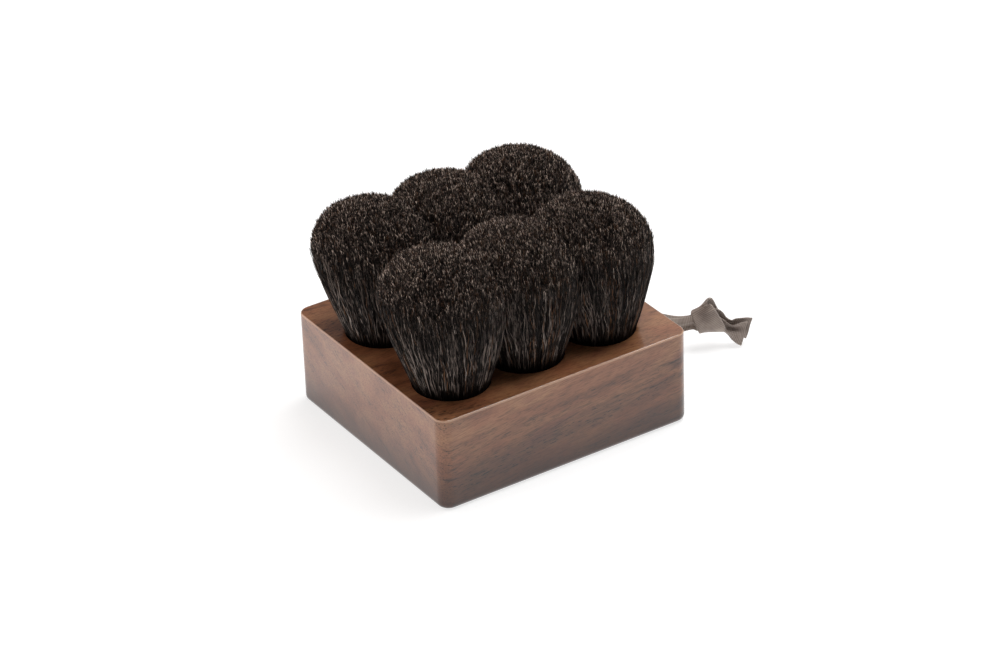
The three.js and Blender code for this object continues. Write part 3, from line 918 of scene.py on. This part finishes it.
def hair_tubes(centres, radii, turn, shade, height_share):
    """Three-sided tapering tubes: rings of three points, a point at the tip and a closed root.

    A ring's point is centre + radius * (cos a, sin a, 0), a third of a turn apart. centres is (hairs,
    rings + 1, 3), whose last place is the tip, and radii is (hairs, rings). In the UV map u is (shade + a
    share) / SHADES and v is the height's share.
    """
    hairs, places = centres.shape[:2]
    rings = places - 1
    angle = turn[:, None, None] + np.arange(3) * 2 * np.pi / 3
    offset = np.stack([np.cos(angle), np.sin(angle), np.zeros_like(angle)], -1)
    around = centres[:, :rings, None] + offset * radii[:, :, None, None]
    points = np.concatenate([around.reshape(hairs, -1, 3), centres[:, -1:]], 1)
    pattern = [(0, 2, 1)]
    for ring in range(rings - 1):
        for k in range(3):
            a, b = 3 * ring + k, 3 * ring + (k + 1) % 3
            pattern += [(a, b, b + 3), (a, b + 3, a + 3)]
    tip = 3 * rings
    pattern += [(tip - 3 + k, tip - 3 + (k + 1) % 3, tip) for k in range(3)]
    first = np.arange(hairs)[:, None, None] * points.shape[1]
    triangles = (np.array(pattern)[None] + first).reshape(-1, 3)
    u = np.concatenate([np.tile([0.15, 0.5, 0.85], rings), [0.5]])
    v = np.concatenate([np.repeat(height_share[:, :rings], 3, axis=1), height_share[:, -1:]], 1)
    uv = np.stack([(shade[:, None] + u) / SHADES, np.clip(v, 0.01, 0.99)], -1)
    return points.reshape(-1, 3), triangles, uv.reshape(-1, 2)


def hair_shades(rng, clump_tone, light, palest):
    """Whole shade numbers: most hairs near black, a share of grey-brown ones up to the palest, a few auburn.

    A dark hair's value is 0.62 * (0.35 * its clump's tone + 0.65 * chance). Where another chance, moved
    by half the clump's tone, is under light it is from 0.62 to palest, and where it is near 1 from 0.93
    to 0.99.
    """
    count = len(clump_tone)
    value = 0.62 * (0.35 * clump_tone + 0.65 * rng.random(count))
    pick = rng.random(count) + 0.5 * (clump_tone - 0.5)
    value = np.where(pick < light, rng.uniform(0.62, palest, count), value)
    value = np.where(pick > 1.0 - light * 0.12, rng.uniform(0.93, 0.99, count), value)
    return np.clip((value * SHADES).astype(int), 0, SHADES - 1)


def side_hairs(rng, side, step):
    """Long hairs on the outside of a tuft: they fan out, wave a little and end round the edge of the dome.

    At a height a hair is at reach * (cos turn, sin turn). reach is its share of the outer hairs' distance
    plus a small wave, its clump's own offset and, for a flyaway, an outward bend that grows with the
    height cubed. turn is its angle at the root plus a pull to its clump, a chance drift and a small wave,
    which all grow upwards.
    """
    count = SIDE_HAIRS
    angle = rng.uniform(0, 2 * np.pi, count)
    share = 1.01 - 0.24 * rng.random(count) ** 1.3
    clump_turn = np.sort(rng.uniform(0, 2 * np.pi, SIDE_CLUMPS))
    clump = np.searchsorted(clump_turn, angle) % SIDE_CLUMPS
    gap = (clump_turn[clump] - angle + np.pi) % (2 * np.pi) - np.pi
    layer_turn = rng.normal(0, 0.09, count)
    tone = rng.random(SIDE_CLUMPS)[clump]
    tip_height = dome_height(share) + rng.normal(0, 0.7, count) - 2.0 * rng.random(count) ** 2
    steps = np.linspace(0, 1, len(SIDE_THICKNESS) + 1)
    height = -ROOT_DEPTH + (tip_height[:, None] + ROOT_DEPTH) * steps
    rise = np.clip(height, 0, None) / TUFT_HEIGHT
    phase = rng.uniform(0, 2 * np.pi, (count, 2))
    sway = rng.uniform(0.012, 0.042, count)[:, None] * np.sin(21.0 * rise + phase[:, :1])
    sway = sway * np.clip(4 * rise, 0, 1)
    turn = angle[:, None] + (0.35 * gap + layer_turn)[:, None] * rise ** 1.2 + sway
    wobble = 0.3 * rise * np.sin(11.0 * rise + phase[:, 1:])
    flyaway = np.where(rng.random(count) < FLYAWAY_SHARE, rng.uniform(0.3, 1.7, count), 0.0)
    clump_offset = 0.3 * rng.normal(0, 1, SIDE_CLUMPS)[clump]
    reach = share[:, None] * spread_radius(height) + wobble + clump_offset[:, None] * rise
    reach = reach + flyaway[:, None] * rise ** 3
    plan = reach[..., None] * np.stack([np.cos(turn), np.sin(turn)], -1)
    plan = keep_in_room(plan, side, step) + lean_at(height)
    centres = np.concatenate([plan, height[..., None]], -1)
    radii = rng.uniform(0.08, 0.145, count)[:, None] * np.array(SIDE_THICKNESS)
    share_up = np.broadcast_to(steps, height.shape)
    ring_turn = rng.uniform(0, 2, count)
    shade = hair_shades(rng, tone, light=0.42, palest=0.86)
    return hair_tubes(centres, radii, ring_turn, shade, share_up)


def crown_hairs(rng, side, step):
    """The last stretch of the hairs inside a tuft: blunt cut tips that stand every way on the dome.

    The hairs are spread evenly over the belly's circle, inside the tuft's room. Each follows the tuft's
    flare, and its tip is moved up to 0.4 towards the middle of its lock and turned aside by its own
    splay, which grows from 0 at 1.5 under the tip to 1.5 times its value at the tip.
    """
    tries = 3 * CROWN_HAIRS
    radius = BELLY_RADIUS * np.sqrt(rng.random(tries)) * 0.99
    angle = rng.uniform(0, 2 * np.pi, tries)
    plan = radius[:, None] * np.stack([np.cos(angle), np.sin(angle)], -1)
    inside = plan[:, 1] * -side < ROOM[1]
    for neighbour in (-1, 1):
        if step != neighbour:
            inside &= plan[:, 0] * neighbour < ROOM[0]
    kept = np.flatnonzero(inside)[:CROWN_HAIRS]
    plan, radius = plan[kept], radius[kept]
    locks = rng.uniform(-BELLY_RADIUS, BELLY_RADIUS, (CROWN_LOCKS, 2))
    lock = nearest(plan, locks)
    tone = rng.random(len(locks))[lock]
    lift = rng.normal(0, 0.25, len(locks))[lock]
    gather = 0.3 * (locks[lock] - plan)
    gather = gather * np.minimum(1, 0.4 / np.maximum(np.linalg.norm(gather, axis=1, keepdims=True), 1e-6))
    tip = dome_height(radius / BELLY_RADIUS) + rng.normal(0, 0.4, len(kept)) + lift
    drop = np.array(CROWN_DROPS)
    height = tip[:, None] - drop
    centres = (plan / BELLY_RADIUS)[:, None] * spread_radius(height)[..., None] + lean_at(height)
    centres = centres + gather[:, None] * (1 - drop / CROWN_DROPS[0])[None, :, None]
    splay = rng.normal(0, 0.27, (len(kept), 2))
    centres = centres + splay[:, None] * np.clip(1.5 - drop, 0, None)[None, :, None]
    centres = np.concatenate([centres, height[..., None]], -1)
    radii = rng.uniform(0.068, 0.115, len(kept))[:, None] * np.array([0.9, 1.0])
    share_up = np.broadcast_to(np.array([0.6, 0.93, 1.0]), height.shape)
    ring_turn = rng.uniform(0, 2, len(kept))
    shade = hair_shades(rng, tone, light=0.38, palest=0.9)
    return hair_tubes(centres, radii, ring_turn, shade, share_up)


def hair_body(side, step):
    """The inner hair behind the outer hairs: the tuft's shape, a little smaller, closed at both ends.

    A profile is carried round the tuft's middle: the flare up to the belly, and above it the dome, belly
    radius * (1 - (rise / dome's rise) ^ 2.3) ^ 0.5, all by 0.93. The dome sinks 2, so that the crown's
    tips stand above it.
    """
    dome_steps = np.array([0.25, 0.45, 0.6, 0.72, 0.82, 0.9, 0.96, 0.99, 1.0])
    flare = np.linspace(-ROOT_DEPTH, BELLY_HEIGHT, 12)
    heights = np.concatenate([[-ROOT_DEPTH - 0.1], flare, BELLY_HEIGHT + DOME_RISE * dome_steps])
    rise = np.clip(heights - BELLY_HEIGHT, 0, None) / DOME_RISE
    dome = BELLY_RADIUS * np.sqrt(np.clip(1 - rise ** DOME_POWER, 0, 1))
    reach = np.where(heights <= BELLY_HEIGHT, spread_radius(heights), dome) * BODY_SHARE
    reach[[0, -1]] = 0.0
    angle = np.linspace(0, 2 * np.pi, BODY_COLUMNS, endpoint=False)
    plan = reach[:, None, None] * np.stack([np.cos(angle), np.sin(angle)], -1)
    lifted = np.where(heights > BELLY_HEIGHT, heights - BODY_SINK, heights)
    plan = keep_in_room(plan, side, step) + lean_at(lifted)[:, None]
    points = np.concatenate([plan, np.broadcast_to(lifted[:, None, None], (*plan.shape[:2], 1))], -1)
    quads = grid_quads(len(heights), BODY_COLUMNS, True)
    triangles = np.concatenate([quads[:, [0, 1, 2]], quads[:, [0, 2, 3]]])
    u = np.broadcast_to((0.2 + 0.6 * np.arange(BODY_COLUMNS) / BODY_COLUMNS)[None] / SHADES, plan.shape[:2])
    v = np.broadcast_to(np.clip(0.6 * lifted / TUFT_HEIGHT, 0.01, 0.99)[:, None], plan.shape[:2])
    return points.reshape(-1, 3), triangles, np.stack([u, v], -1).reshape(-1, 2)


def tuft(name, number, material):
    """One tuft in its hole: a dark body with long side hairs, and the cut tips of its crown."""
    side = -1 if name.startswith("front") else 1
    step = {"left": -1, "middle": 0, "right": 1}[name.split("_")[1]]
    rng = np.random.default_rng(HAIR_SEED + number)
    centre, _ = hole_of(name)
    foot = np.array([centre[0], centre[1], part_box("walnut_block")[1].z / MM])
    body, sides = hair_body(side, step), side_hairs(rng, side, step)
    outer = [np.concatenate(pair) for pair in zip(body, sides)]
    outer[1][len(body[1]):] += len(body[0])
    pieces = []
    for piece_name, (points, triangles, uv) in (
        (f"hair_{name}", outer), (f"hair_crown_{name}", crown_hairs(rng, side, step)),
    ):
        piece = piece_from_triangles(piece_name, (points + foot) * MM, triangles, uv)
        piece.data.materials.append(material)
        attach(piece, "block")
        pieces.append(piece)
    for piece in pieces:
        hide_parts(f"hair_tuft_{name}")


def finish_cad_nodes():
    """Gives the bindings, the resin discs and the pin, whose CAD shapes stay, their own materials."""
    thread, resin, brass = waxed_thread(), casting_resin(), drawn_brass()
    for name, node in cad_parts.items():
        for start, material in (("thread_binding", thread), ("root_resin", resin), ("strap_pin", brass)):
            if name.startswith(start):
                node.material_slots[0].material = material


studio_camera()
strap(ribbon_cloth())
studio()
block()
hair = goat_hair()
for number, name in enumerate(tuft_names()):
    tuft(name, number, hair)
finish_cad_nodes()
